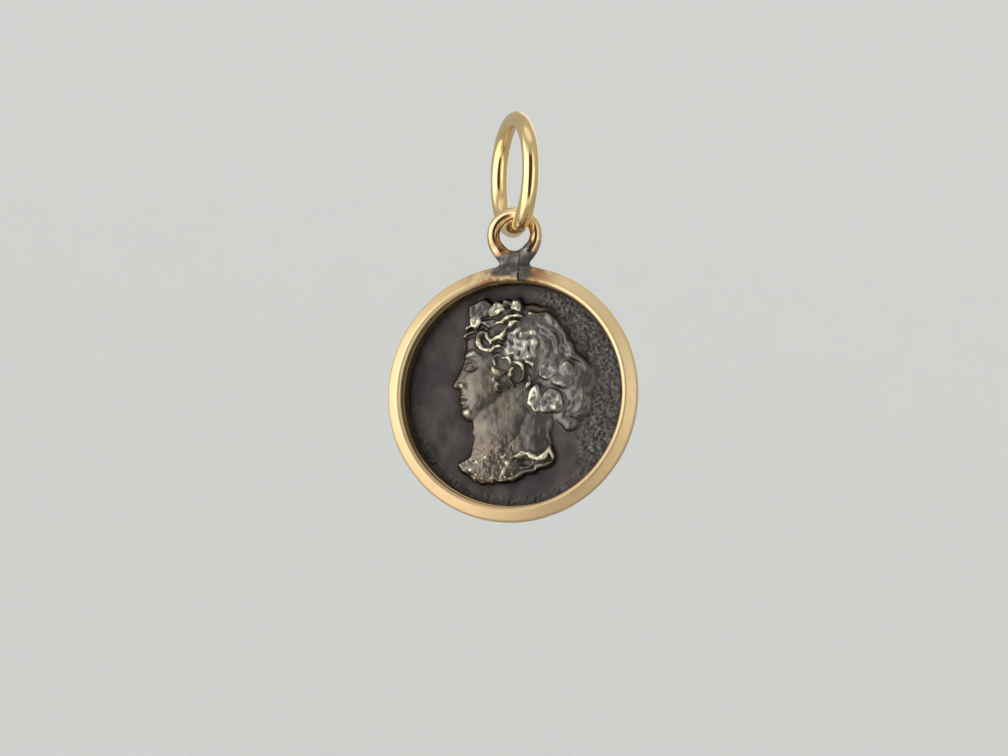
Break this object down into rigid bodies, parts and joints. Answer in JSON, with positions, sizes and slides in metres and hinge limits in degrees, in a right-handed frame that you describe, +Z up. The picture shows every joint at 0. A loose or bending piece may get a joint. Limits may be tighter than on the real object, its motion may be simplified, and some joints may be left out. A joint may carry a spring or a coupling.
{
  "type": "coin pendant",
  "caption": "Coin pendant: a dark relief coin in a rounded gold frame, hung by a soldered loop from a large gold bail ring.",
  "frame": {"origin": "highest point inside the bail ring, where the pendant hangs", "axes": "+Z up along the hanging pendant, the coin's face towards -Y, +X to the viewer's right"},
  "size_m": [0.018, 0.0078, 0.029],
  "materials": {
    "oxidised_silver": "dark oxidised metal, worn bright on the high points",
    "satin_gold": "satin gold with dark solder at the loop",
    "polished_gold": "polished gold"
  },
  "bodies": {
    "bail": {"bail_ring": "polished_gold"},
    "drop": {"bezel_frame": "satin_gold", "coin": "oxidised_silver"}
  },
  "joints": [
    {"name": "drop_swing", "type": "hinge", "parent": "bail", "child": "drop", "pos_m": [0, 0, -0.0071], "axis": [0.515, -0.8572, 0], "range_deg": [-115, 115]}
  ]
}
